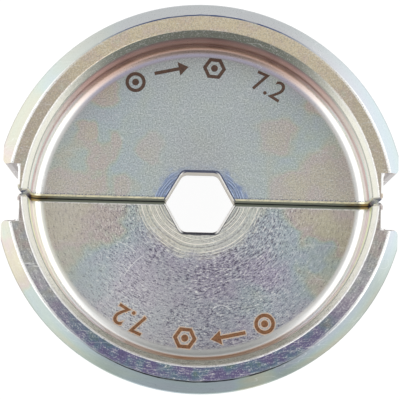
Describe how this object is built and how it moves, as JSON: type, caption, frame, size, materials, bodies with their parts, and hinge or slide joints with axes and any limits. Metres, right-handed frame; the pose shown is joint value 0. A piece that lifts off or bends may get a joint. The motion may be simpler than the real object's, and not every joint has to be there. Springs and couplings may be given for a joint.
{
  "type": "crimping die",
  "caption": "Matched pair of half dies that close on a hexagonal opening, with a thin web inside a deep round rim and notched ends.",
  "frame": {"origin": "centre of the hexagonal opening, halfway through the web, on the plane where the two halves meet", "axes": "+Z along the axis of the crimp, towards the marked front; +X along the parting line; +Y across it, into the upper half"},
  "size_m": [0.0464, 0.0458, 0.0174],
  "materials": {
    "plated_steel": "turned steel, zinc plated and passivated, with a soft iridescent sheen"
  },
  "bodies": {
    "root": {"upper_half_die": "plated_steel", "lower_half_die": "plated_steel"}
  },
  "joints": []
}
